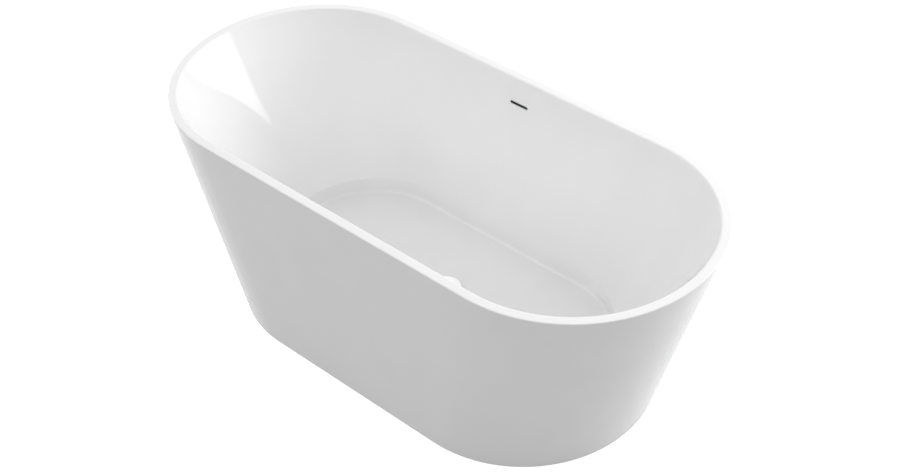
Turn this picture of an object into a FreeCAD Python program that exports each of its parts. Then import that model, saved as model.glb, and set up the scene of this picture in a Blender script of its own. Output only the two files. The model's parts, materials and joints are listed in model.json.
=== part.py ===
import FreeCAD, Part
import math
import os

from FreeCAD import Vector

# A freestanding acrylic bathtub on a steel frame with four levelling feet.
# Millimetres. +Z is up, X runs along the tub, and the origin is on the floor, under the middle of the tub.

# Overall sizes
rim_length = 1600.0
rim_width = 730.0
height = 590.0
base_length = 1234.0
base_width = 676.0
skirt_floor_gap = 3.0

# Modelling slack: how far a cut runs past a face, how far joined solids reach into each other, how
# closely an edge must lie level to be picked, and how near the outline it must be
cut_over = 5.0
fuse_overlap = 1.0
level_tolerance = 0.01
outline_slack = 1.0

# Basin
rim_face = 25.0
rim_thickness = 6.0
rim_outer_round = 2.5
rim_inner_round = 5.0
basin_wall = 8.0
floor_length = 1004.0
floor_width = 477.0
floor_height = 120.0
sump_length = 1012.0
sump_width = 487.0
sump_depth = 42.0
floor_round = 10.0

# Skirt, its bond to the rim and its stiffening ring
skirt_wall = 5.0
bond_depth = 8.0
ring_thickness = 12.0
ring_height = 60.0
ring_floor_gap = 4.0

# Board and frame
board_inset = 22.0
board_thickness = 12.0
tube_side = 25.0
tube_wall = 2.0
rail_spacing = 300.0
rail_overhang = 40.0
end_member_inset = 237.0
middle_member_x = 120.0
end_member_clearance = 50.0

# Frame fasteners
wood_screw_radius = 2.2
wood_screw_head = 4.5
head_thickness = 3.0
screw_from_member = 30.0
screw_end_gap = 3.0
screw_clearance = 0.1
screw_tip_room = 1.0
bracket_plate = 3.0
bracket_width = 40.0
bracket_leg = 36.0
bracket_ring_margin = 8.0
bracket_gap = 0.5
bracket_hole_inset = 15.0
ring_screw_grip = 9.0
bolt_length = 13.0

# Levelling feet, M12
foot_inset_y = 113.0
stud_radius = 6.0
thread_pitch = 1.75
thread_clearance = 0.05
stud_length = 84.0
stud_chamfer = 1.0
hexagon_wall = 3.5
nut_height = 8.0
stud_hexagon_z = 17.0
stud_hexagon_height = 6.0
member_hole_clearance = 0.5
pad_radius = 22.0
pad_thickness = 6.0
pad_round = 2.0
pad_hub_wall = 3.5
pad_hub_height = 8.0

# Drain
drain_x = 12.0
drain_hole_clearance = 2.0
gasket_thickness = 1.0
gasket_inset = 2.0
flange_seat = 10.0
flange_thickness = 2.0
flange_round = 1.2
throat_radius = 24.0
throat_wall = 2.5
throat_length = 48.0
boss_wall = 3.0
boss_height = 14.0
boss_drop = 17.0
spoke_count = 3
spoke_thickness = 2.5
spoke_height = 8.0
board_hole_clearance = 8.0
cap_radius = 42.5
cap_edge = 3.0
cap_crown = 5.2
cap_travel = 6.0
cap_recess = 2.5
cap_land = 7.5
seal_inner_radius = 27.0
seal_closed_gap = 0.3
stem_radius = 4.0
stem_length = 46.0
stem_collar_width = 5.0
stem_collar_height = 6.0
cartridge_wall = 2.0
cartridge_head_width = 2.5
cartridge_head_height = 4.0
cartridge_tail = 2.0
running_clearance = 0.05
spring_wire = 1.2
spring_gap = 2.0
spring_turns = 5
spring_end_gap = 0.1

# Waste body and outlet
body_flange_width = 11.0
body_flange_thickness = 4.0
body_wall = 3.0
tailpiece_radius = 20.0
tailpiece_wall = 2.0
tailpiece_end_z = 12.0
tailpiece_flange_width = 3.0
tailpiece_flange_thickness = 2.0
collar_wall = 1.0
collar_drop = 2.5
washer_thickness = 1.0
nut_wall = 3.5
nut_grip = 8.0
nut_ribs = 12
nut_branch_gap = 2.0
hose_rail_gap = 7.0
branch_length = 60.0

# Overflow
overflow_x = -5.0
overflow_drop = 67.0
slot_length = 58.0
slot_height = 8.5
slot_clearance = 0.2
trim_lip = 1.2
trim_wall = 1.0
trim_proud = 0.8
trim_inset = 6.0
overflow_gasket_thickness = 2.0
gasket_border = 6.0
housing_spigot_room = 1.0
housing_border = 9.0
housing_wall = 2.0
spigot_radius = 8.0
spigot_wall = 2.0
spigot_length = 26.0
hose_clearance = 0.1
hose_wall = 1.9
hose_start_gap = 4.0
hose_end_gap = 7.0
hose_wall_gap = 40.0
hose_upper_share = 0.72
hose_lower_share = 0.38
hose_inward_share = 0.45
hose_sideways_share = 0.3
hose_corner_rise = 30.0
hose_corner_reach = 35.0
bend_share = 0.45
clamp_width = 9.0
clamp_band = 1.0
clamp_block = 7.0
clamp_from_end = 8.0

# Worked out from the sizes above
outer_rise = height - skirt_floor_gap
sump_z = floor_height + sump_depth
floor_under_z = floor_height - basin_wall
board_z = floor_under_z - board_thickness
rail_z = board_z - tube_side
member_z = rail_z - tube_side
rim_under_z = height - rim_thickness
ring_half_width = base_width / 2 - skirt_wall - ring_thickness
ring_half_length = base_length / 2 - skirt_wall - ring_thickness
end_member_x = base_length / 2 - end_member_inset
rail_half_length = end_member_x + rail_overhang
rail_y = rail_spacing / 2
foot_y = base_width / 2 - foot_inset_y
hexagon_flats = 2 * (stud_radius + hexagon_wall)
bracket_low_z = ring_floor_gap + bracket_ring_margin
bracket_screw_z = bracket_low_z + bracket_hole_inset
drain_axis = Vector(drain_x, 0, 0)
drain_hole_radius = throat_radius + drain_hole_clearance
flange_radius = drain_hole_radius + flange_seat
cartridge_radius = stem_radius + cartridge_wall
boss_radius = cartridge_radius + boss_wall
spring_radius = stem_radius + spring_gap + spring_wire / 2
hose_radius = spigot_radius + hose_clearance + hose_wall
spigot_bore = spigot_radius - spigot_wall
housing_depth = 2 * (spigot_radius + housing_spigot_room)
branch_z = rail_z - hose_rail_gap - hose_radius
body_bottom_z = branch_z - spigot_radius - nut_branch_gap - nut_grip
outlet_bore = tailpiece_radius - tailpiece_wall
tailpiece_flange_radius = tailpiece_radius + tailpiece_flange_width
tailpiece_top_z = body_bottom_z - washer_thickness
collar_radius = tailpiece_radius + collar_wall
nut_seat_z = tailpiece_top_z - tailpiece_flange_thickness
nut_low_z = nut_seat_z - nut_wall
flange_z = floor_height + gasket_thickness
flange_top_z = flange_z + flange_thickness
cap_z = flange_top_z + cap_travel
boss_top_z = flange_z - boss_drop
cartridge_top_z = boss_top_z + cartridge_head_height
body_top_z = floor_under_z - gasket_thickness
body_radius = throat_radius + running_clearance + body_wall
body_flange_radius = body_radius + body_flange_width


def lerp(low, high, share):
    return low + (high - low) * share


def outer_size(z):
    """Half length and half width of the tub's outside at a height."""
    share = (z - skirt_floor_gap) / outer_rise
    return lerp(base_length / 2, rim_length / 2, share), lerp(base_width / 2, rim_width / 2, share)


def inner_size(z):
    """Half length and half width of the sloped inner wall at a height."""
    share = (z - sump_z) / (height - sump_z)
    length = lerp(sump_length / 2, rim_length / 2 - rim_face, share)
    width = lerp(sump_width / 2, rim_width / 2 - rim_face, share)
    return length, width


def stadium(size, z, grow=0.0):
    """Closed outline of two straight sides and two half-round ends."""
    half_length = size[0] + grow
    half_width = size[1] + grow
    straight = half_length - half_width
    corners = [
        Vector(-straight, -half_width, z),
        Vector(straight, -half_width, z),
        Vector(straight, half_width, z),
        Vector(-straight, half_width, z),
    ]
    edges = [
        Part.LineSegment(corners[0], corners[1]).toShape(),
        Part.Arc(corners[1], Vector(half_length, 0, z), corners[2]).toShape(),
        Part.LineSegment(corners[2], corners[3]).toShape(),
        Part.Arc(corners[3], Vector(-half_length, 0, z), corners[0]).toShape(),
    ]
    return Part.Wire(edges)


def frustum(low_size, low_z, high_size, high_z, grow=0.0):
    """Solid between two outlines, with straight walls."""
    wires = [stadium(low_size, low_z, grow), stadium(high_size, high_z, grow)]
    return Part.makeLoft(wires, True, True)


def outside(low_z, high_z, grow=0.0):
    return frustum(outer_size(low_z), low_z, outer_size(high_z), high_z, grow)


def edges_at(shape, z, inside=None):
    """Level edges at a height, all of them or only those within an outline size."""
    found = []
    for edge in shape.Edges:
        box = edge.BoundBox
        level = max(abs(box.ZMin - z), abs(box.ZMax - z)) < level_tolerance
        reach = max(abs(box.XMin), abs(box.XMax)), max(abs(box.YMin), abs(box.YMax))
        if level and (inside is None or (reach[0] <= inside[0] and reach[1] <= inside[1])):
            found.append(edge)
    return found


def disc(radius, z, thickness, at=drain_axis):
    return Part.makeCylinder(radius, thickness, at + Vector(0, 0, z))


def ring(outer, inner, z, thickness, at=drain_axis):
    return disc(outer, z, thickness, at).cut(disc(inner, z, thickness, at))


def hexagon(flats, z, thickness, at):
    reach = flats / math.sqrt(3)
    points = []
    for step in range(7):
        turn = math.radians(60 * step)
        points.append(at + Vector(reach * math.cos(turn), reach * math.sin(turn), z))
    return Part.Face(Part.makePolygon(points)).extrude(Vector(0, 0, thickness))


def block(low, high):
    size = high - low
    return Part.makeBox(size.x, size.y, size.z, low)


def square_tube(low, high, axis):
    """Hollow box section, open at both ends of its axis."""
    wall = Vector(tube_wall, tube_wall, tube_wall)
    setattr(wall, axis, -cut_over)
    return block(low, high).cut(block(low + wall, high - wall))


def slot_block(length, tall, start, depth):
    """Solid with a round-ended outline in XZ, running along Y."""
    radius = tall / 2
    half = length / 2 - radius
    left = Vector(-half, start, 0)
    right = Vector(half, start, 0)
    up = Vector(0, 0, radius)
    edges = [
        Part.LineSegment(left - up, right - up).toShape(),
        Part.Arc(right - up, right + Vector(radius, 0, 0), right + up).toShape(),
        Part.LineSegment(right + up, left + up).toShape(),
        Part.Arc(left + up, left - Vector(radius, 0, 0), left - up).toShape(),
    ]
    return Part.Face(Part.Wire(edges)).extrude(Vector(0, depth, 0))


# Overflow parts are made square to the wall, then leaned with it
overflow_z = height - overflow_drop
wall_lean = math.atan((rim_width / 2 - rim_face - sump_width / 2) / (height - sump_z))
wall_through = basin_wall * math.cos(wall_lean)
housing_start = wall_through + overflow_gasket_thickness
housing_tall = slot_height + 2 * housing_border


def on_wall(shape):
    shape.rotate(Vector(0, 0, 0), Vector(1, 0, 0), -math.degrees(wall_lean))
    shape.translate(Vector(overflow_x, inner_size(overflow_z)[1], overflow_z))
    return shape


def wall_point(out, up):
    """A point given by its distance out from the inner wall and up along it."""
    y = out * math.cos(wall_lean) + up * math.sin(wall_lean)
    z = up * math.cos(wall_lean) - out * math.sin(wall_lean)
    return Vector(overflow_x, inner_size(overflow_z)[1] + y, overflow_z + z)


def basin():
    high = height + cut_over
    sump_size = inner_size(sump_z)
    floor_size = floor_length / 2, floor_width / 2
    well = frustum(floor_size, floor_height, sump_size, sump_z)
    well = well.makeFillet(floor_round, edges_at(well, floor_height))
    hollow = well.fuse(frustum(sump_size, sump_z, inner_size(high), high))
    under = frustum(floor_size, floor_under_z, sump_size, sump_z, basin_wall)
    wall = frustum(sump_size, sump_z, inner_size(rim_under_z), rim_under_z, basin_wall)
    body = under.fuse([wall, outside(rim_under_z, height)]).cut(hollow)
    rim = stadium(inner_size(height), height, outline_slack).BoundBox
    inner = edges_at(body, height, (rim.XMax, rim.YMax))
    body = body.makeFillet(rim_inner_round, inner)
    body = round_rim(body)
    body = body.cut(disc(drain_hole_radius, floor_under_z - cut_over, basin_wall + 2 * cut_over))
    opening = slot_block(slot_length + slot_clearance, slot_height + slot_clearance, -cut_over,
                         wall_through + 2 * cut_over)
    return body.cut(on_wall(opening))


def round_rim(body):
    """Rounds the rim's outer top edge."""
    limit = rim_length / 2 - outline_slack, rim_width / 2 - outline_slack
    outer = [e for e in edges_at(body, height) if not edges_at(Part.Compound([e]), height, limit)]
    return body.makeFillet(rim_outer_round, outer)


def outer_skirt():
    hollow = outside(skirt_floor_gap, rim_under_z, -skirt_wall)
    return outside(skirt_floor_gap, rim_under_z).cut(hollow)


def rim_bond():
    low_z = rim_under_z - bond_depth
    bead = outside(low_z, rim_under_z, -skirt_wall)
    return bead.cut(frustum(inner_size(low_z), low_z, inner_size(rim_under_z), rim_under_z, basin_wall))


def skirt_ring():
    top = ring_floor_gap + ring_height
    size = ring_half_length, ring_half_width
    ring_shape = outside(ring_floor_gap, top, -skirt_wall).cut(frustum(size, ring_floor_gap, size, top))
    for side in (-1, 1):
        for x in member_xs(middle_member_x):
            start = Vector(x, side * (ring_half_width - cut_over), bracket_screw_z)
            depth = cut_over + ring_screw_grip + screw_tip_room
            pilot = Part.makeCylinder(wood_screw_radius + screw_clearance, depth, start, Vector(0, side, 0))
            ring_shape = ring_shape.cut(pilot)
    return ring_shape


def member_xs(x):
    return [-x, x]


def frame_screw_points():
    points = []
    for x in member_xs(end_member_x - screw_from_member):
        points.append(x)
    for x in member_xs(middle_member_x):
        points.extend([x - screw_from_member, x + screw_from_member])
    return [Vector(x, side * rail_y, 0) for side in (-1, 1) for x in points]


def floor_board():
    size = floor_length / 2 - board_inset, floor_width / 2 - board_inset
    board = frustum(size, board_z, size, floor_under_z)
    board = board.cut(disc(body_flange_radius + board_hole_clearance, board_z, board_thickness))
    for at in frame_screw_points():
        depth = board_thickness - screw_end_gap + screw_tip_room
        pilot = disc(wood_screw_radius + screw_clearance, board_z, depth, at)
        board = board.cut(pilot)
    return board


def frame_rail(side):
    low = Vector(-rail_half_length, side * rail_y - tube_side / 2, rail_z)
    high = Vector(rail_half_length, side * rail_y + tube_side / 2, board_z)
    rail = square_tube(low, high, "x")
    for at in frame_screw_points():
        rail = rail.cut(disc(wood_screw_radius + screw_clearance, rail_z, tube_side, at))
    return rail


def ring_inner_y(x):
    """Half width of the space inside the stiffening ring, at a place along the tub."""
    straight = ring_half_length - ring_half_width
    past = max(0.0, abs(x) - straight)
    return math.sqrt(ring_half_width ** 2 - past ** 2)


def cross_member(x, half_length):
    low = Vector(x - tube_side / 2, -half_length, member_z)
    high = Vector(x + tube_side / 2, half_length, rail_z)
    return square_tube(low, high, "y")


def end_member(x):
    half = ring_inner_y(abs(x) + tube_side / 2) - end_member_clearance
    member = cross_member(x, max(half, foot_y + tube_side))
    for side in (-1, 1):
        hole = disc(stud_radius + member_hole_clearance, member_z, tube_side, Vector(x, side * foot_y, 0))
        member = member.cut(hole)
    return member


def bolt_y():
    return ring_half_width - bracket_leg + bracket_hole_inset


def middle_member(x):
    member = cross_member(x, ring_half_width - bracket_gap)
    for side in (-1, 1):
        hole = disc(wood_screw_radius + screw_clearance, member_z, tube_wall, Vector(x, side * bolt_y(), 0))
        member = member.cut(hole)
    return member


def skirt_brackets():
    """Angle plates from the middle members down to the stiffening ring."""
    plates = []
    half = bracket_width / 2
    for x in member_xs(middle_member_x):
        for side in (-1, 1):
            outer = side * ring_half_width
            inner = side * (ring_half_width - bracket_plate)
            deep = side * (ring_half_width - bracket_leg)
            upright = block(Vector(x - half, min(outer, inner), bracket_low_z),
                            Vector(x + half, max(outer, inner), member_z))
            level = block(Vector(x - half, min(outer, deep), member_z - bracket_plate),
                          Vector(x + half, max(outer, deep), member_z))
            plate = upright.fuse(level).removeSplitter()
            radius = wood_screw_radius + screw_clearance
            at = Vector(x, side * bolt_y(), 0)
            plate = plate.cut(disc(radius, member_z - bracket_plate, bracket_plate, at))
            start = Vector(x, inner, bracket_screw_z)
            plates.append(plate.cut(Part.makeCylinder(radius, bracket_plate, start, Vector(0, side, 0))))
    return Part.Compound(plates)


def screw(at, direction, length):
    """Pan-headed screw whose head's seat is at a point."""
    shank = Part.makeCylinder(wood_screw_radius, length, at, direction)
    head = Part.makeCylinder(wood_screw_head, head_thickness, at - direction * head_thickness, direction)
    return shank.fuse(head)


def bracket_screws():
    screws = []
    for x in member_xs(middle_member_x):
        for side in (-1, 1):
            at = Vector(x, side * (ring_half_width - bracket_plate), bracket_screw_z)
            screws.append(screw(at, Vector(0, side, 0), bracket_plate + ring_screw_grip))
    return Part.Compound(screws)


def bracket_bolts():
    bolts = []
    for x in member_xs(middle_member_x):
        for side in (-1, 1):
            at = Vector(x, side * bolt_y(), member_z - bracket_plate)
            bolts.append(screw(at, Vector(0, 0, 1), bolt_length))
    return Part.Compound(bolts)


def frame_screws():
    length = tube_side + board_thickness - screw_end_gap
    up = Vector(0, 0, 1)
    return Part.Compound([screw(at + Vector(0, 0, rail_z), up, length) for at in frame_screw_points()])


def foot_points():
    return [Vector(x, side * foot_y, 0) for x in member_xs(end_member_x) for side in (-1, 1)]


def foot_nuts(z):
    nuts = []
    for at in foot_points():
        bore = disc(stud_radius + thread_clearance, z, nut_height, at)
        nuts.append(hexagon(hexagon_flats, z, nut_height, at).cut(bore))
    return Part.Compound(nuts)


def foot_stud(at):
    stud = disc(stud_radius, pad_thickness, stud_length, at)
    stud = stud.makeChamfer(stud_chamfer, edges_at(stud, pad_thickness + stud_length))
    return stud.fuse(hexagon(hexagon_flats, stud_hexagon_z, stud_hexagon_height, at))


def foot_pad(at):
    plate = disc(pad_radius, 0, pad_thickness, at)
    plate = plate.makeFillet(pad_round, edges_at(plate, pad_thickness))
    hub = disc(stud_radius + pad_hub_wall, pad_thickness - fuse_overlap, pad_hub_height + fuse_overlap, at)
    socket = disc(stud_radius + running_clearance, pad_thickness, pad_hub_height, at)
    return plate.fuse(hub).cut(socket)


def drain_flange():
    """Flange and threaded throat, with spokes that hold the boss for the plunger."""
    plate = disc(flange_radius, flange_z, flange_thickness)
    plate = plate.makeFillet(flange_round, edges_at(plate, flange_top_z))
    throat_z = flange_z - throat_length
    bore = throat_radius - throat_wall
    shape = plate.fuse(disc(throat_radius, throat_z, throat_length))
    shape = shape.cut(disc(bore, throat_z, throat_length + flange_thickness + cut_over))
    boss_z = boss_top_z - boss_height
    shape = shape.fuse(disc(boss_radius, boss_z, boss_height))
    for step in range(spoke_count):
        spoke = block(Vector(0, -spoke_thickness / 2, boss_z),
                      Vector(bore + throat_wall / 2, spoke_thickness / 2, boss_z + spoke_height))
        spoke.rotate(Vector(0, 0, 0), Vector(0, 0, 1), 360 / spoke_count * step)
        spoke.translate(drain_axis)
        shape = shape.fuse(spoke)
    return shape.cut(disc(cartridge_radius, boss_z, boss_height))


def plunger_cartridge():
    length = boss_height + cartridge_tail
    shape = disc(cartridge_radius, boss_top_z - length, length)
    shape = shape.fuse(disc(cartridge_radius + cartridge_head_width, boss_top_z, cartridge_head_height))
    bore = disc(stem_radius + running_clearance, boss_top_z - length, length + cartridge_head_height)
    return shape.cut(bore)


def drain_cap():
    """Low dome with a rounded edge and a shallow recess beneath."""
    rounding = cap_edge / 2
    shoulder = Vector(cap_radius - rounding, 0, cap_z + cap_edge)
    top = Vector(0, 0, cap_z + cap_edge + cap_crown)
    dome_radius = (shoulder.x ** 2 + cap_crown ** 2) / (2 * cap_crown)
    half_reach = shoulder.x / 2
    drop = dome_radius - math.sqrt(dome_radius ** 2 - half_reach ** 2)
    middle = Vector(half_reach, 0, top.z - drop)
    side = Vector(cap_radius, 0, cap_z + rounding)
    lower = Vector(cap_radius - rounding, 0, cap_z)
    recess = cap_radius - cap_land
    recess_z = cap_z + cap_recess
    edges = [
        Part.Arc(top, middle, shoulder).toShape(),
        Part.Arc(shoulder, side, lower).toShape(),
        Part.LineSegment(lower, Vector(recess, 0, cap_z)).toShape(),
        Part.LineSegment(Vector(recess, 0, cap_z), Vector(recess, 0, recess_z)).toShape(),
        Part.LineSegment(Vector(recess, 0, recess_z), Vector(0, 0, recess_z)).toShape(),
        Part.LineSegment(Vector(0, 0, recess_z), top).toShape(),
    ]
    cap = Part.Face(Part.Wire(edges)).revolve(Vector(0, 0, 0), Vector(0, 0, 1), 360)
    cap.translate(drain_axis)
    return cap


def cap_seal():
    low = cap_z + seal_closed_gap
    outer = cap_radius - cap_land - running_clearance
    return ring(outer, seal_inner_radius, low, cap_recess - seal_closed_gap)


def cap_stem():
    top = cap_z + cap_recess
    stem = disc(stem_radius, top - stem_length, stem_length)
    return stem.fuse(disc(stem_radius + stem_collar_width, top - stem_collar_height, stem_collar_height))


def plunger_spring():
    end_room = spring_wire / 2 + spring_end_gap
    low = cartridge_top_z + end_room
    high = cap_z + cap_recess - stem_collar_height - end_room
    helix = Part.makeHelix((high - low) / spring_turns, high - low, spring_radius)
    circle = Part.Circle(Vector(spring_radius, 0, 0), Vector(0, 1, 0), spring_wire / 2)
    coil = Part.Wire(helix.Edges).makePipeShell([Part.Wire([circle.toShape()])], True, True)
    coil.translate(drain_axis + Vector(0, 0, low))
    return coil


def flange_gasket():
    return ring(flange_radius - gasket_inset, drain_hole_radius, floor_height, gasket_thickness)


def body_gasket():
    return ring(body_flange_radius, drain_hole_radius, body_top_z, gasket_thickness)


def waste_body():
    """Bowl that screws up onto the throat, with a side branch for the overflow."""
    tall = body_top_z - body_bottom_z
    shape = disc(body_radius, body_bottom_z, tall)
    low = body_top_z - body_flange_thickness
    shape = shape.fuse(disc(body_flange_radius, low, body_flange_thickness))
    start = drain_axis + Vector(0, throat_radius, branch_z)
    branch = Part.makeCylinder(spigot_radius, branch_length - throat_radius, start, Vector(0, 1, 0))
    shape = shape.fuse(branch)
    floor = body_bottom_z + body_wall
    shape = shape.cut(disc(throat_radius + running_clearance, floor, tall))
    shape = shape.cut(disc(outlet_bore, body_bottom_z, body_wall))
    middle = drain_axis + Vector(0, 0, branch_z)
    return shape.cut(Part.makeCylinder(spigot_bore, branch_length, middle, Vector(0, 1, 0)))


def tailpiece_washer():
    return ring(tailpiece_flange_radius, outlet_bore, tailpiece_top_z, washer_thickness)


def tailpiece():
    """Outlet pipe whose collar runs in the nut and whose flange the nut lifts."""
    shape = disc(tailpiece_radius, tailpiece_end_z, tailpiece_top_z - tailpiece_end_z)
    collar_z = nut_low_z - collar_drop
    shape = shape.fuse(disc(collar_radius, collar_z, tailpiece_top_z - collar_z))
    shape = shape.fuse(disc(tailpiece_flange_radius, nut_seat_z, tailpiece_flange_thickness))
    return shape.cut(disc(outlet_bore, tailpiece_end_z, tailpiece_top_z - tailpiece_end_z))


def tailpiece_nut():
    """Ribbed union nut that draws the tailpiece up to the body."""
    tall = body_bottom_z + nut_grip - nut_low_z
    inner = body_radius + running_clearance
    outer = inner + nut_wall
    shape = disc(outer, nut_low_z, tall)
    for step in range(nut_ribs):
        turn = 2 * math.pi * step / nut_ribs
        at = drain_axis + Vector(outer * math.cos(turn), outer * math.sin(turn), 0)
        shape = shape.fuse(disc(nut_wall / 2, nut_low_z, tall, at))
    shape = shape.cut(disc(inner, nut_seat_z, tall))
    return shape.cut(disc(collar_radius + running_clearance, nut_low_z, nut_wall))


def overflow_trim():
    """Thin lip on the wall's face with a sleeve through the slot."""
    lip = slot_block(slot_length + 2 * trim_lip, slot_height + 2 * trim_lip, -trim_proud, trim_proud)
    sleeve = slot_block(slot_length, slot_height, 0, housing_start + trim_inset)
    opening = slot_block(slot_length - 2 * trim_wall, slot_height - 2 * trim_wall, -trim_proud,
                         housing_start + trim_inset + trim_proud)
    return on_wall(lip.fuse(sleeve).cut(opening))


def overflow_gasket():
    outline = slot_block(slot_length + 2 * gasket_border, slot_height + 2 * gasket_border, wall_through,
                         overflow_gasket_thickness)
    hole = slot_block(slot_length + slot_clearance, slot_height + slot_clearance, wall_through,
                      overflow_gasket_thickness)
    return on_wall(outline.cut(hole))


def spigot_axis():
    return wall_point(housing_start + housing_depth / 2, -housing_tall / 2)


def overflow_housing():
    """Flat box behind the slot with a spigot down to the hose."""
    inner_tall = housing_tall - 2 * housing_wall
    length = slot_length + 2 * housing_border
    shell = on_wall(slot_block(length, housing_tall, housing_start, housing_depth))
    space = on_wall(slot_block(length - 2 * housing_wall, inner_tall, housing_start + housing_wall,
                               housing_depth - 2 * housing_wall))
    mouth = on_wall(slot_block(slot_length + slot_clearance, slot_height + slot_clearance, housing_start,
                               housing_wall))
    axis = spigot_axis()
    base = axis - Vector(0, 0, spigot_length)
    overlap = housing_wall * 2
    pipe = Part.makeCylinder(spigot_radius, spigot_length + overlap, base)
    bore = Part.makeCylinder(spigot_bore, spigot_length + overlap, base)
    return shell.fuse(pipe).cut([space, mouth, bore])


def hose_route():
    """Down behind the basin's side, in under the rail and on to the waste body's branch."""
    top = spigot_axis() - Vector(0, 0, hose_start_gap)
    low_y = sump_width / 2 + basin_wall + hose_wall_gap
    middle_y = lerp(low_y, top.y, hose_inward_share)
    upper_z = lerp(floor_height, top.z, hose_upper_share)
    lower_z = lerp(floor_height, top.z, hose_lower_share)
    aside = lerp(overflow_x, drain_x, hose_sideways_share)
    almost = lerp(overflow_x, drain_x, 1 - hose_sideways_share)
    return [
        top,
        Vector(overflow_x, top.y, upper_z),
        Vector(aside, middle_y, lower_z),
        Vector(almost, low_y, floor_height + hose_corner_rise),
        Vector(drain_x, low_y - hose_corner_reach, branch_z),
        Vector(drain_x, body_radius + hose_end_gap, branch_z),
    ]


def rounded_path(points):
    """Straight runs joined by tangent arcs, each as large as its two runs allow."""
    edges = []
    here = points[0]
    for before, corner, after in zip(points, points[1:], points[2:]):
        back = before - corner
        ahead = after - corner
        run = min(back.Length, ahead.Length)
        cut_back = bend_share * run
        back.normalize()
        ahead.normalize()
        half_turn = (math.pi - back.getAngle(ahead)) / 2
        radius = cut_back / math.tan(half_turn)
        start = corner + back * cut_back
        end = corner + ahead * cut_back
        inward = back + ahead
        inward.normalize()
        middle = corner + inward * (radius / math.cos(half_turn) - radius)
        edges.append(Part.LineSegment(here, start).toShape())
        edges.append(Part.Arc(start, middle, end).toShape())
        here = end
        print("hose bend radius", round(radius))
    edges.append(Part.LineSegment(here, points[-1]).toShape())
    return Part.Wire(edges)


def swept(path, radius):
    start = path.Edges[0].valueAt(path.Edges[0].FirstParameter)
    circle = Part.Circle(start, Vector(0, 0, 1), radius)
    return path.makePipeShell([Part.Wire([circle.toShape()])], True, True)


def overflow_hose():
    path = rounded_path(hose_route())
    bore = spigot_radius + hose_clearance
    hose = swept(path, hose_radius).cut(swept(path, bore))
    section = math.pi * (hose_radius ** 2 - bore ** 2)
    print("hose volume over section times length", round(hose.Volume / (section * path.Length), 4))
    return hose


def hose_clamp(centre, axis, block_side):
    """Band with a screw block on one side."""
    start = centre - axis * (clamp_width / 2)
    outer = hose_radius + thread_clearance + clamp_band
    band = Part.makeCylinder(outer, clamp_width, start, axis)
    reach = outer + clamp_block / 2
    half = Vector(clamp_block / 2, clamp_block / 2, clamp_block / 2)
    housing = block(centre + block_side * reach - half, centre + block_side * reach + half)
    # the block reaches into the band, so the two are one piece
    housing.translate(block_side * -clamp_band)
    inner = Part.makeCylinder(hose_radius + thread_clearance, clamp_width, start, axis)
    return band.fuse(housing).cut(inner)


def hose_clamps():
    route = hose_route()
    upper = route[0] - Vector(0, 0, clamp_from_end)
    lower = route[-1] + Vector(0, clamp_from_end, 0)
    return Part.Compound([
        hose_clamp(upper, Vector(0, 0, 1), Vector(1, 0, 0)),
        hose_clamp(lower, Vector(0, 1, 0), Vector(1, 0, 0)),
    ])


def pieces():
    """Every piece by its node name."""
    made = {
        "basin": basin(),
        "outer_skirt": outer_skirt(),
        "rim_bond": rim_bond(),
        "skirt_ring": skirt_ring(),
        "floor_board": floor_board(),
        "frame_rail_left": frame_rail(-1),
        "frame_rail_right": frame_rail(1),
        "cross_member_1": end_member(-end_member_x),
        "cross_member_2": middle_member(-middle_member_x),
        "cross_member_3": middle_member(middle_member_x),
        "cross_member_4": end_member(end_member_x),
        "frame_screws": frame_screws(),
        "skirt_brackets": skirt_brackets(),
        "bracket_screws": bracket_screws(),
        "bracket_bolts": bracket_bolts(),
        "foot_weld_nuts": foot_nuts(member_z - nut_height),
        "foot_lock_nuts": foot_nuts(member_z - 2 * nut_height),
        "drain_flange": drain_flange(),
        "flange_gasket": flange_gasket(),
        "body_gasket": body_gasket(),
        "waste_body": waste_body(),
        "plunger_cartridge": plunger_cartridge(),
        "drain_cap": drain_cap(),
        "cap_seal": cap_seal(),
        "cap_stem": cap_stem(),
        "plunger_spring": plunger_spring(),
        "tailpiece": tailpiece(),
        "tailpiece_washer": tailpiece_washer(),
        "tailpiece_nut": tailpiece_nut(),
        "overflow_trim": overflow_trim(),
        "overflow_gasket": overflow_gasket(),
        "overflow_housing": overflow_housing(),
        "overflow_hose": overflow_hose(),
        "hose_clamps": hose_clamps(),
    }
    for number, at in enumerate(foot_points(), 1):
        made["foot_stud_%d" % number] = foot_stud(at)
        made["foot_pad_%d" % number] = foot_pad(at)
    return made


os.makedirs("parts", exist_ok=True)
for name, shape in pieces().items():
    print(name, len(shape.Solids), "valid" if shape.isValid() else "NOT VALID", round(shape.Volume))
    shape.exportStep("parts/" + name + ".step")
print("foot travel per radian, mm", round(thread_pitch / (2 * math.pi), 5))
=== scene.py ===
import json
import math

import bmesh
import bpy
import numpy as np
from mathutils import Matrix, Vector


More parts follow.
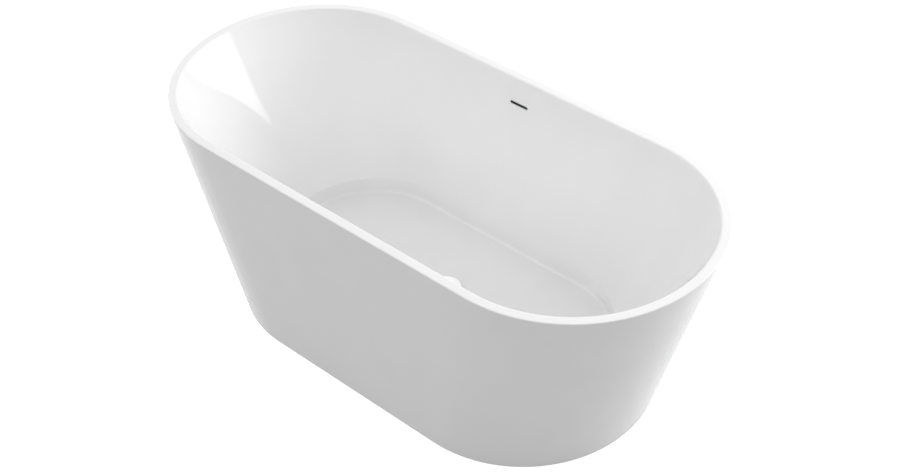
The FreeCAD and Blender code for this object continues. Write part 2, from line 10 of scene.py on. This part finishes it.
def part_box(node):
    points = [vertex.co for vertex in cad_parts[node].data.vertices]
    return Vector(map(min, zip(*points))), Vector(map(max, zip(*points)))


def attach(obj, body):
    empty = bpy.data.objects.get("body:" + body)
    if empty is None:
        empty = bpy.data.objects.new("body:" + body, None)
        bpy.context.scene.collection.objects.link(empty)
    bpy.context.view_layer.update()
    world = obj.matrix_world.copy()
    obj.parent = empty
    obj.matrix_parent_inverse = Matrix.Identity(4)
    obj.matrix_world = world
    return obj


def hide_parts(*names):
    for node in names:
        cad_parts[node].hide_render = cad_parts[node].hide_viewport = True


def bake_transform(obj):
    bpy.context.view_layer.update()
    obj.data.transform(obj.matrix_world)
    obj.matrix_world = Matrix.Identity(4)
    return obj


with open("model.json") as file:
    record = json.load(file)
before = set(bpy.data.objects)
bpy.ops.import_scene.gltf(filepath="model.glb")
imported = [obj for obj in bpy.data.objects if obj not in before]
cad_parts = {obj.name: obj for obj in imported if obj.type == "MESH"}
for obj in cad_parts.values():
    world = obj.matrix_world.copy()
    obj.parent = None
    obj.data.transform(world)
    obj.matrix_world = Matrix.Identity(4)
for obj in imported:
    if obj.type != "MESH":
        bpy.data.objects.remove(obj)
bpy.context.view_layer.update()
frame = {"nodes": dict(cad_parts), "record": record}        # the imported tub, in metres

print("frame loaded:", len(frame["nodes"]), "nodes")

for name in ("Cube", "Light", "Camera"):
    if name in bpy.data.objects:
        bpy.data.objects.remove(bpy.data.objects[name])

mm = 0.001


def srgb(hexColour):
    parts = [int(hexColour[i:i + 2], 16) / 255 for i in (1, 3, 5)]
    linear = [p / 12.92 if p <= 0.04045 else ((p + 0.055) / 1.055) ** 2.4 for p in parts]
    return (*linear, 1.0)


plainWhite = srgb("#FFFFFF")


def addNode(tree, kind, settings=None, links=None):
    # a setting is the node's own property by name, or a socket's value by name or number
    node = tree.nodes.new(kind)
    for key, value in (settings or {}).items():
        if isinstance(key, str) and key not in node.inputs:
            setattr(node, key, value)
        else:
            node.inputs[key].default_value = value
    for key, source in (links or {}).items():
        tree.links.new(source, node.inputs[key])
    return node


def newMaterial(name):
    material = bpy.data.materials.new(name)
    material.use_nodes = True
    tree = material.node_tree
    tree.nodes.clear()
    shader = addNode(tree, "ShaderNodeBsdfPrincipled")
    output = addNode(tree, "ShaderNodeOutputMaterial")
    tree.links.new(shader.outputs["BSDF"], output.inputs["Surface"])
    place = addNode(tree, "ShaderNodeTexCoord").outputs["Object"]
    return material, tree, shader, place


# sockets of a colour mix, whose names it shares with its other types
mixFactor, mixLow, mixHigh, mixResult = 0, 6, 7, 2


def dressSurface(tree, shader, pattern, look, finer=None):
    # one pattern drives colour and relief, and roughness too unless it has a finer one of its own
    low, high = look["spread"]
    even = addNode(tree, "ShaderNodeMapRange", {"From Min": low, "From Max": high}, {"Value": pattern})
    even = even.outputs["Result"]
    colour = addNode(tree, "ShaderNodeMix", {"data_type": "RGBA", mixLow: srgb(look["shade"]),
                                             mixHigh: srgb(look["light"])}, {mixFactor: even})
    smoothest, roughest = look["rough"]
    sheen = addNode(tree, "ShaderNodeMapRange", {"To Min": smoothest, "To Max": roughest},
                    {"Value": finer or even})
    relief = addNode(tree, "ShaderNodeBump", {"Distance": look["depth"]}, {"Height": even})
    tree.links.new(colour.outputs[mixResult], shader.inputs["Base Color"])
    tree.links.new(sheen.outputs["Result"], shader.inputs["Roughness"])
    tree.links.new(relief.outputs["Normal"], shader.inputs["Normal"])


# acrylic sheet, vacuum formed and polished: a deep clear gloss, with a very slow swell in what it
# reflects where the sheet was drawn, and a faint haze left by the polishing wheel
acrylic = {
    "light": "#F5F5F5", "shade": "#F3F3F3", "rough": (0.06, 0.10), "ior": 1.49, "spread": (0.3, 0.7),
    "swell": 140 * mm, "depth": 0.02 * mm, "haze": 14 * mm,
}


def polishedAcrylic():
    material, tree, shader, place = newMaterial("vacuum_formed_polished_acrylic")
    drawn = {"Scale": 1 / acrylic["swell"], "Detail": 1.0}
    swell = addNode(tree, "ShaderNodeTexNoise", drawn, {"Vector": place})
    polished = {"Scale": 1 / acrylic["haze"], "Detail": 4.0}
    haze = addNode(tree, "ShaderNodeTexNoise", polished, {"Vector": place})
    dressSurface(tree, shader, swell.outputs["Fac"], acrylic, haze.outputs["Fac"])
    shader.inputs["IOR"].default_value = acrylic["ior"]
    return material


# brass dome sprayed with enamel and baked: harder and whiter than the acrylic, with a wet-looking
# clear top and the faint ripple of the sprayed coat in its highlights
# the last entry is the strength of a painted glow that stands in for more light falling on the cap
enamel = {
    "light": "#FAFAFA", "shade": "#F7F7F6", "rough": (0.05, 0.10), "ior": 1.52, "spread": (0.3, 0.7),
    "ripple": 3 * mm, "depth": 0.004 * mm, "coat": 0.6, "paintedGlow": 0.2,
}


def enamelledBrass():
    material, tree, shader, place = newMaterial("enamelled_brass")
    sprayed = {"Scale": 1 / enamel["ripple"], "Detail": 2.0}
    ripple = addNode(tree, "ShaderNodeTexNoise", sprayed, {"Vector": place})
    dressSurface(tree, shader, ripple.outputs["Fac"], enamel)
    shader.inputs["IOR"].default_value = enamel["ior"]
    shader.inputs["Coat Weight"].default_value = enamel["coat"]
    # a faint painted glow makes the cap look more brightly lit, and so whiter than the acrylic in the same
    # light
    shader.inputs["Emission Color"].default_value = plainWhite
    shader.inputs["Emission Strength"].default_value = enamel["paintedGlow"]
    return material


# chrome is smooth enough to mirror, zinc plate is a satin grey with fine pits, and turned brass keeps
# the tool's fine marks, so each shows its making in how sharp its highlights are
metals = {
    "polished_chrome_plate": {"light": "#D8DADC", "shade": "#CDCFD2", "rough": (0.04, 0.10), "grain": 6 * mm,
                              "depth": 0.002 * mm, "spread": (0.3, 0.7)},
    "bright_zinc_plate": {"light": "#C4C8CC", "shade": "#A9ADB2", "rough": (0.22, 0.38), "grain": 2 * mm,
                          "depth": 0.01 * mm, "spread": (0.3, 0.7)},
    "turned_brass": {"light": "#D9BE7C", "shade": "#C2A35E", "rough": (0.18, 0.30), "grain": 1 * mm,
                     "depth": 0.01 * mm, "spread": (0.3, 0.7)},
}


def platedMetal(name):
    look = metals[name]
    material, tree, shader, place = newMaterial(name)
    grain = {"Scale": 1 / look["grain"], "Detail": 5.0}
    marks = addNode(tree, "ShaderNodeTexNoise", grain, {"Vector": place})
    dressSurface(tree, shader, marks.outputs["Fac"], look)
    shader.inputs["Metallic"].default_value = 1.0
    return material


# steel tube dipped in molten zinc: dull grey crystals about 8 mm across, each a little lighter or
# darker and smoother or rougher than the next
galvanised = {"light": "#B6BABD", "shade": "#8D9297", "rough": (0.32, 0.52), "spangle": 8 * mm,
              "depth": 0.01 * mm, "spread": (0.0, 1.0)}


def galvanisedSteel():
    material, tree, shader, place = newMaterial("hot_dip_galvanised_steel")
    spangle = addNode(tree, "ShaderNodeTexVoronoi", {"Scale": 1 / galvanised["spangle"]}, {"Vector": place})
    grey = addNode(tree, "ShaderNodeSeparateColor", links={"Color": spangle.outputs["Color"]})
    dressSurface(tree, shader, grey.outputs["Red"], galvanised)
    shader.inputs["Metallic"].default_value = 1.0
    return material


# birch veneers peeled from the log and glued: pale brown with long fine grain and open pores
plywood = {"light": "#DDBF90", "shade": "#B08A5A", "rough": (0.55, 0.75), "stretch": (8.0, 60.0, 500.0),
           "depth": 0.1 * mm, "spread": (0.3, 0.7)}


def birchPlywood():
    material, tree, shader, place = newMaterial("rotary_cut_birch_plywood")
    stretch = addNode(tree, "ShaderNodeMapping", {"Scale": plywood["stretch"]}, {"Vector": place})
    fine = {"Scale": 1.0, "Detail": 6.0}
    grain = addNode(tree, "ShaderNodeTexNoise", fine, {"Vector": stretch.outputs["Vector"]})
    dressSurface(tree, shader, grain.outputs["Fac"], plywood)
    return material


# wood chips pressed flat with glue: flakes about 4 mm across in mixed browns, slightly shiny where
# the resin that seals them has pooled
chipboard = {"light": "#CFB083", "shade": "#8A6A42", "rough": (0.45, 0.7), "flake": 4 * mm,
             "depth": 0.05 * mm, "spread": (0.0, 1.0)}


def pressedChipboard():
    material, tree, shader, place = newMaterial("pressed_chipboard")
    flakes = addNode(tree, "ShaderNodeTexVoronoi", {"Scale": 1 / chipboard["flake"]}, {"Vector": place})
    tone = addNode(tree, "ShaderNodeSeparateColor", links={"Color": flakes.outputs["Color"]})
    dressSurface(tree, shader, tone.outputs["Red"], chipboard)
    return material


# moulded and poured stuff, told apart by colour, by sheen and by the grit of the mould: the plastics
# have a soft sheen, rubber is nearly matt, and the resin bead is lumpy and yellowish
softFinishes = {
    "moulded_polypropylene": {"light": "#E9E9E6", "shade": "#DFDFDB", "rough": (0.30, 0.42),
                              "grit": 1.5 * mm, "depth": 0.02 * mm, "spread": (0.3, 0.7)},
    "extruded_polythene": {"light": "#A9ABAD", "shade": "#9A9C9F", "rough": (0.38, 0.5), "grit": 2 * mm,
                           "depth": 0.03 * mm, "spread": (0.3, 0.7)},
    "moulded_black_nylon": {"light": "#2A2A2B", "shade": "#1E1E1F", "rough": (0.42, 0.6), "grit": 1 * mm,
                            "depth": 0.04 * mm, "spread": (0.3, 0.7)},
    "moulded_nitrile_rubber": {"light": "#242424", "shade": "#191919", "rough": (0.6, 0.8), "grit": 1 * mm,
                               "depth": 0.03 * mm, "spread": (0.3, 0.7)},
    "poured_polyester_resin": {"light": "#D9D2BC", "shade": "#C7BEA3", "rough": (0.3, 0.6), "grit": 5 * mm,
                               "depth": 0.3 * mm, "spread": (0.3, 0.7)},
}


def mouldedFinish(name):
    look = softFinishes[name]
    material, tree, shader, place = newMaterial(name)
    grit = addNode(tree, "ShaderNodeTexNoise", {"Scale": 1 / look["grit"], "Detail": 4.0}, {"Vector": place})
    dressSurface(tree, shader, grit.outputs["Fac"], look)
    return material


finishes = {
    "shell_acrylic": polishedAcrylic(), "cap_gloss": enamelledBrass(),
    "galvanised_steel": galvanisedSteel(), "plywood": birchPlywood(), "chipboard": pressedChipboard(),
    "chrome": platedMetal("polished_chrome_plate"), "zinc_steel": platedMetal("bright_zinc_plate"),
    "brass": platedMetal("turned_brass"), "waste_plastic": mouldedFinish("moulded_polypropylene"),
    "hose_plastic": mouldedFinish("extruded_polythene"), "pad_plastic": mouldedFinish("moulded_black_nylon"),
    "gasket_rubber": mouldedFinish("moulded_nitrile_rubber"),
    "resin": mouldedFinish("poured_polyester_resin"),
}

for part in frame["record"]["subparts"]:
    mesh = frame["nodes"][part["node"]].data
    mesh.materials.clear()
    mesh.materials.append(finishes[part["material_slot"]])
print("materials on every node")


# degrees between two faces from which the edge they share stays crisp
sharpAngles = {"shell": 32, "cap": 40, "smallPart": 30}


def addObject(name, data):
    added = bpy.data.objects.new(name, data)
    bpy.context.scene.collection.objects.link(added)
    return added


def smoothMesh(mesh, sharpAngle):
    mesh.polygons.foreach_set("use_smooth", [True] * len(mesh.polygons))
    mesh.set_sharp_from_angle(angle=math.radians(sharpAngle))


def closedMesh(name, points, faces):
    # every face is turned to look outwards
    mesh = bpy.data.meshes.new(name)
    mesh.from_pydata([tuple(p) for p in points], [], faces)
    built = bmesh.new()
    built.from_mesh(mesh)
    bmesh.ops.recalc_face_normals(built, faces=built.faces)
    built.to_mesh(mesh)
    built.free()
    return mesh


def finishPiece(name, points, faces, slotName, body, replaced, sharpAngle):
    mesh = closedMesh(name, points, faces)
    smoothMesh(mesh, sharpAngle)
    mesh.materials.append(finishes[slotName])
    piece = addObject(name, mesh)
    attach(piece, body)
    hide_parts(replaced)
    return piece


def joinRings(rings, closed=False):
    # quads between rings of equally many points; closed joins the last ring to the first
    count = len(rings[0])
    points = [p for ring in rings for p in ring]
    faces = []
    for k in range(len(rings) if closed else len(rings) - 1):
        low = k * count
        high = (k + 1) % len(rings) * count
        for i in range(count):
            j = (i + 1) % count
            faces.append((low + i, low + j, high + j, high + i))
    return points, faces


# the basin, whose rim is rounder on its inner edge than on its outer one, and the skirt around it
shells = {
    "rimFace": 25 * mm, "rimOuterRound": 2.5 * mm, "rimInnerRound": 7.5 * mm,
    "basinWall": 8 * mm, "skirtWall": 5 * mm, "skirtEdgeRound": 1.2 * mm, "skirtFold": 20 * mm,
    "floorHalf": (502 * mm, 238.5 * mm), "sumpHalf": (506 * mm, 243.5 * mm), "sumpDepth": 42 * mm,
    "floorRound": 10 * mm, "sumpRound": 9 * mm, "baseHalf": (617 * mm, 338 * mm), "drainHole": 26 * mm,
    "shrink": 0.05 * mm, "endSteps": 72, "sideSteps": 28, "roundSteps": 7, "wallSteps": 14, "floorSteps": 6,
    "floorStart": 40 * mm, "hold": 1.5 * mm, "holdShare": 0.9, "cornerShare": 0.45,
}
basinLow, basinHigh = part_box("basin")
skirtLow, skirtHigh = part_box("outer_skirt")
rimZ = basinHigh.z
underRimZ = skirtHigh.z
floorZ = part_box("flange_gasket")[0].z
underFloorZ = basinLow.z
sumpZ = floorZ + shells["sumpDepth"]
capLow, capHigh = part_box("drain_cap")
drainCentre = (capLow + capHigh) / 2


def level(halves, z, grow=0.0):
    return np.array([halves[0] + grow, halves[1] + grow, z])


def between(low, high, z):
    # the wall's size at a height, on straight lines between two levels
    share = (z - low[2]) / (high[2] - low[2])
    return low + (high - low) * share


def levelRing(size):
    halfLength, halfWidth, z = size
    straight = halfLength - halfWidth
    ring = []
    for side in (1, -1):
        for k in range(shells["endSteps"]):
            turn = side * (math.pi * k / shells["endSteps"] - math.pi / 2)
            ring.append((side * (straight + halfWidth * math.cos(turn)), halfWidth * math.sin(turn), z))
        for k in range(shells["sideSteps"]):
            ring.append((side * straight * (1 - 2 * k / shells["sideSteps"]), side * halfWidth, z))
    return ring


def roundedLevels(corners):
    # corners are (level, radius); each corner becomes an arc, with a holding level on both sides of it
    out = [corners[0][0]]
    for (before, _), (corner, radius), (after, _) in zip(corners, corners[1:], corners[2:]):
        back = before - corner
        ahead = after - corner
        backLength = math.hypot(back[0], back[2])
        aheadLength = math.hypot(ahead[0], ahead[2])
        cosine = (back[0] * ahead[0] + back[2] * ahead[2]) / (backLength * aheadLength)
        turn = math.pi - math.acos(max(-1.0, min(1.0, cosine)))
        if radius == 0:
            out.append(corner)
            continue
        room = shells["cornerShare"] * min(backLength, aheadLength)
        reach = min(radius * math.tan(turn / 2), room)
        weight = math.cos(turn / 2)
        start = corner + back * (reach / backLength)
        end = corner + ahead * (reach / aheadLength)
        held = reach + shells["hold"]
        out.append(corner + back * min(shells["holdShare"], held / backLength))
        for k in range(shells["roundSteps"] + 1):
            t = k / shells["roundSteps"]
            a, b, c = (1 - t) ** 2, 2 * t * (1 - t) * weight, t * t
            out.append((start * a + corner * b + end * c) / (a + b + c))
        out.append(corner + ahead * min(shells["holdShare"], held / aheadLength))
    out.append(corners[-1][0])
    return out


def wallLevels(low, high):
    steps = shells["wallSteps"]
    return [low + (high - low) * (k / steps) for k in range(1, steps)]


def drainRing(outer, z):
    ring = []
    for x, y, _ in outer:
        away = Vector((x - drainCentre.x, y - drainCentre.y)).normalized() * shells["drainHole"]
        ring.append((drainCentre.x + away.x, drainCentre.y + away.y, z))
    return ring


baseLevel = level(shells["baseHalf"], skirtLow.z)
# the CAD box is measured where the rim's rounding starts, so the outline is sized to it there
edgeZ = rimZ - shells["rimOuterRound"]
edgeLevel = level((min(basinHigh.x, -basinLow.x), min(basinHigh.y, -basinLow.y)), edgeZ, -shells["shrink"])
rimLevel = between(baseLevel, edgeLevel, rimZ)
underRim = between(baseLevel, edgeLevel, underRimZ)
sumpLevel = level(shells["sumpHalf"], sumpZ)
floorLevel = level(shells["floorHalf"], floorZ)
rimInner = level(rimLevel[:2], rimZ, -shells["rimFace"])


def floorSpread(ring, inner):
    # rings between a floor's edge and the drain hole
    steps = shells["floorSteps"]
    outer = np.array(ring)
    hole = np.array(inner)
    return [(outer + (hole - outer) * (k / steps)).tolist() for k in range(1, steps)]


def buildBasin():
    grow = shells["basinWall"]
    start = level(floorLevel[:2], floorZ, -shells["floorStart"])
    slope = wallLevels(sumpLevel, rimInner)
    inside = roundedLevels([(start, 0), (floorLevel, shells["floorRound"]), (sumpLevel, shells["sumpRound"]),
                            (slope[0], 0), (slope[-1], 0), (rimInner, shells["rimInnerRound"]),
                            (rimLevel, shells["rimOuterRound"]), (underRim, 0)])
    # the long slope's own rows go between its first and last level
    first = next(k for k, s in enumerate(inside) if np.allclose(s, slope[0]))
    inside = inside[:first + 1] + slope[1:-1] + inside[first + 1:]
    topOuter = level(between(sumpLevel, rimInner, underRimZ)[:2], underRimZ, grow)
    outsideSump = level(sumpLevel[:2], sumpZ, grow)
    outsideFloor = level(floorLevel[:2], underFloorZ, grow)
    outside = [topOuter, *reversed(wallLevels(outsideSump, topOuter)), outsideSump, outsideFloor]
    rings = [levelRing(s) for s in inside + outside]
    topHole = drainRing(rings[0], floorZ)
    lowHole = drainRing(rings[-1], underFloorZ)
    rings = [topHole, *reversed(floorSpread(rings[0], topHole)), *rings,
             *floorSpread(rings[-1], lowHole), lowHole]
    points, faces = joinRings(rings, closed=True)
    basin = finishPiece("basin_shell", points, faces, "shell_acrylic", "tub", "basin", sharpAngles["shell"])
    cutSlot(basin)


def buildSkirt():
    wall = shells["skirtWall"]
    inner = level(underRim[:2], underRimZ, -wall)
    innerBase = level(baseLevel[:2], skirtLow.z, -wall)
    edge = shells["skirtEdgeRound"]
    foldZ = skirtLow.z + shells["skirtFold"]
    loop = roundedLevels([(between(innerBase, inner, foldZ), 0), (innerBase, edge), (baseLevel, edge),
                          (between(baseLevel, underRim, foldZ), 0)])
    low = loop[-1]
    rings = [levelRing(s) for s in [*loop, *wallLevels(low, underRim), underRim, inner,
                                    *reversed(wallLevels(loop[0], inner))]]
    points, faces = joinRings(rings, closed=True)
    finishPiece("skirt_shell", points, faces, "shell_acrylic", "tub", "outer_skirt", sharpAngles["shell"])


slot = {"length": 58.2 * mm, "height": 8.7 * mm, "belowRim": 67 * mm, "reach": (-15 * mm, 22 * mm),
        "steps": 16}


def cutSlot(basin):
    # round-ended cutter, square to the leaning wall, through the basin where the trim's sleeve goes
    trimLow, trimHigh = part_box("overflow_trim")
    lean = math.atan((rimInner[1] - sumpLevel[1]) / (rimZ - sumpZ))
    centreX = (trimLow.x + trimHigh.x) / 2
    centreZ = rimZ - slot["belowRim"]
    centreY = between(sumpLevel, rimInner, centreZ)[1]
    radius = slot["height"] / 2
    half = slot["length"] / 2 - radius
    outline = []
    for side in (1, -1):
        for k in range(slot["steps"] + 1):
            turn = math.pi * k / slot["steps"] - math.pi / 2
            outline.append((side * (half + radius * math.cos(turn)), side * radius * math.sin(turn)))
    turned = Matrix.Rotation(-lean, 4, "X")
    centre = Vector((centreX, centreY, centreZ))
    rings = []
    for depth in slot["reach"]:
        rings.append([turned @ Vector((x, depth, z)) + centre for x, z in outline])
    points, faces = joinRings(rings)
    count = len(outline)
    faces += [tuple(range(count)), tuple(range(2 * count - 1, count - 1, -1))]
    cutter = addObject("slot_cutter", closedMesh("slot_cutter", points, faces))
    cut = basin.modifiers.new("slot", "BOOLEAN")
    cut.object = cutter
    cut.operation = "DIFFERENCE"
    cut.solver = "EXACT"
    bpy.context.view_layer.update()
    made = bpy.data.meshes.new_from_object(basin.evaluated_get(bpy.context.evaluated_depsgraph_get()))
    basin.modifiers.clear()
    basin.data = made
    smoothMesh(made, sharpAngles["shell"])
    bpy.data.objects.remove(cutter)


buildBasin()
buildSkirt()
print("shells built")


# the drain cap is a spun dome with a rolled edge
cap = {"edge": 3 * mm, "recess": 2.5 * mm, "land": 7.5 * mm, "hub": 2 * mm, "turns": 128, "domeSteps": 12,
       "rollSteps": 8}


def roundRing(centre, reach, z, count):
    turns = [math.tau * k / count for k in range(count)]
    return [(centre.x + reach * math.cos(t), centre.y + reach * math.sin(t), z) for t in turns]


def buildCap():
    radius = (capHigh.x - capLow.x) / 2
    low = capLow.z
    top = capHigh.z
    roll = cap["edge"] / 2
    profile = []
    for k in range(1, cap["domeSteps"] + 1):
        reach = (radius - roll) * k / cap["domeSteps"]
        drop = (top - low - cap["edge"]) * (reach / (radius - roll)) ** 2
        profile.append((reach, top - drop))
    for k in range(1, cap["rollSteps"] + 1):
        turn = math.pi / 2 - math.pi * k / cap["rollSteps"]
        profile.append((radius - roll + roll * math.cos(turn), low + roll + roll * math.sin(turn)))
    inner = radius - cap["land"]
    profile += [(inner, low), (inner, low + cap["recess"]), (cap["hub"], low + cap["recess"])]
    rings = [roundRing(drainCentre, reach, z, cap["turns"]) for reach, z in profile]
    points, faces = joinRings(rings)
    count = cap["turns"]
    faces += [tuple(range(count)), tuple(range((len(rings) - 1) * count, len(rings) * count))]
    finishPiece("cap_dome", points, faces, "cap_gloss", "cap", "drain_cap", sharpAngles["cap"])


buildCap()
print("drain cap built")

# small CAD parts keep their meshes, smoothed across shallow angles only
for node in frame["nodes"].values():
    smoothMesh(node.data, sharpAngles["smallPart"])


def buildSpring():
    # a copy of the coil as an object of its own, with the CAD spring hidden
    coil = frame["nodes"]["plunger_spring"]
    mesh = coil.data.copy()
    mesh.transform(coil.matrix_world)
    spring = addObject("spring_coil", mesh)
    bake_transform(spring)
    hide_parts("plunger_spring")


buildSpring()
print("spring built")


# a white room: surfaces are lit most from halfway up, while the room itself shows as plain white
studio = {
    "floor": "#B0B0B0", "floorSize": 60.0, "floorGlow": 1.0, "floorSheen": 0.5,
    "seen": 1.0, "sideLight": 0.1, "midLight": 1.02, "zenithLight": 0.62, "midHeight": (0.45, 0.65),
}
# a large soft panel right of the tub and behind it brightens the left end inside, and two low ones
# lift the left and right edges of the skirt; the edge panel only shows as a gleam along rounded edges
panelDistance = 3.4
panels = {
    "right_panel": {"azimuth": 152, "elevation": 22, "size": (3.2, 1.8), "power": 60, "aimHeight": 450 * mm},
    "left_panel": {"azimuth": 272, "elevation": 2, "size": (1.8, 0.7), "power": 44, "aimHeight": 300 * mm},
    "low_right_panel": {"azimuth": 148, "elevation": 2, "size": (1.8, 0.7), "power": 16,
                        "aimHeight": 300 * mm},
    "edge_panel": {"azimuth": 320, "elevation": 33, "size": (2.4, 1.6), "power": 36, "aimHeight": 200 * mm,
                   "glossOnly": True},
}


def buildFloor():
    mesh = bpy.data.meshes.new("floor")
    half = studio["floorSize"] / 2
    corners = [(-half, -half, 0), (half, -half, 0), (half, half, 0), (-half, half, 0)]
    mesh.from_pydata(corners, [], [(0, 1, 2, 3)])
    floor = addObject("floor", mesh)
    material, tree, shader, _ = newMaterial("pale_studio_floor")
    shader.inputs["Base Color"].default_value = srgb(studio["floor"])
    shader.inputs["Roughness"].default_value = 1.0
    shader.inputs["Specular IOR Level"].default_value = 0.0
    shader.inputs["Emission Color"].default_value = plainWhite
    # the floor glows for the camera and, more weakly, in what the tub reflects, so it shows as white and
    # adds nothing to the soft light from below
    path = addNode(tree, "ShaderNodeLightPath").outputs
    seen = addNode(tree, "ShaderNodeMapRange", {"To Max": studio["floorGlow"]},
                   {"Value": path["Is Camera Ray"]}).outputs["Result"]
    glow = addNode(tree, "ShaderNodeMath", {"operation": "MULTIPLY_ADD", 1: studio["floorSheen"]},
                   {0: path["Is Glossy Ray"], 2: seen})
    tree.links.new(glow.outputs["Value"], shader.inputs["Emission Strength"])
    mesh.materials.append(material)


def buildWorld():
    world = bpy.data.worlds.new("white_studio")
    bpy.context.scene.world = world
    world.use_nodes = True
    tree = world.node_tree
    tree.nodes.clear()
    direction = addNode(tree, "ShaderNodeTexCoord").outputs["Generated"]
    height = addNode(tree, "ShaderNodeSeparateXYZ", links={"Vector": direction}).outputs["Z"]
    low, high = studio["midHeight"]
    rise = {"From Max": low, "To Min": studio["sideLight"], "To Max": studio["midLight"]}
    fall = {"From Min": high, "To Min": studio["midLight"], "To Max": studio["zenithLight"]}
    below = addNode(tree, "ShaderNodeMapRange", rise, {"Value": height}).outputs["Result"]
    above = addNode(tree, "ShaderNodeMapRange", fall, {"Value": height}).outputs["Result"]
    lit = addNode(tree, "ShaderNodeMath", {"operation": "MINIMUM"}, {0: below, 1: above}).outputs["Value"]
    lighting = addNode(tree, "ShaderNodeLightPath").outputs["Is Diffuse Ray"]
    strength = addNode(tree, "ShaderNodeMix", {"A": studio["seen"]}, {"Factor": lighting, "B": lit})
    strength = strength.outputs["Result"]
    back = addNode(tree, "ShaderNodeBackground", {"Color": plainWhite}, {"Strength": strength})
    output = addNode(tree, "ShaderNodeOutputWorld")
    tree.links.new(back.outputs["Background"], output.inputs["Surface"])


def towards(azimuth, elevation):
    # degrees; azimuth starts at the front, -Y, and goes round by the right, +X
    turn, rise = math.radians(azimuth), math.radians(elevation)
    return Vector((math.sin(turn) * math.cos(rise), -math.cos(turn) * math.cos(rise), math.sin(rise)))


def buildPanel(name, panel):
    data = bpy.data.lights.new(name, "AREA")
    data.shape = "RECTANGLE"
    data.size, data.size_y = panel["size"]
    data.energy = panel["power"]
    light = addObject(name, data)
    away = towards(panel["azimuth"], panel["elevation"])
    light.location = away * panelDistance + Vector((0, 0, panel["aimHeight"]))
    light.rotation_euler = away.to_track_quat("Z", "Y").to_euler()
    light.visible_camera = False
    light.visible_diffuse = not panel.get("glossOnly", False)


shot = {
    "azimuth": 45.267, "elevation": 39.858, "roll": -3.683, "distance": 4.2622,
    "lens": 67.065, "sensor": 36, "shift": (0.01271, 0.0003), "aimHeight": 295 * mm,
}


def buildCamera():
    data = bpy.data.cameras.new("camera")
    data.sensor_width = shot["sensor"]
    data.lens = shot["lens"]
    data.shift_x, data.shift_y = shot["shift"]
    camera = addObject("camera", data)
    azimuth, roll = math.radians(shot["azimuth"]), math.radians(shot["roll"])
    back = towards(shot["azimuth"], shot["elevation"])
    right = Vector((math.cos(azimuth), math.sin(azimuth), 0))
    up = back.cross(right)
    rolledRight = right * math.cos(roll) + up * math.sin(roll)
    rolledUp = up * math.cos(roll) - right * math.sin(roll)
    turned = Matrix((rolledRight, rolledUp, back)).transposed().to_4x4()
    place = back * shot["distance"] + Vector((0, 0, shot["aimHeight"]))
    camera.matrix_world = Matrix.Translation(place) @ turned
    bpy.context.scene.camera = camera


buildFloor()
buildWorld()
for name, panel in panels.items():
    buildPanel(name, panel)
buildCamera()
bpy.context.scene.view_settings.view_transform = "Standard"
print("studio ready")
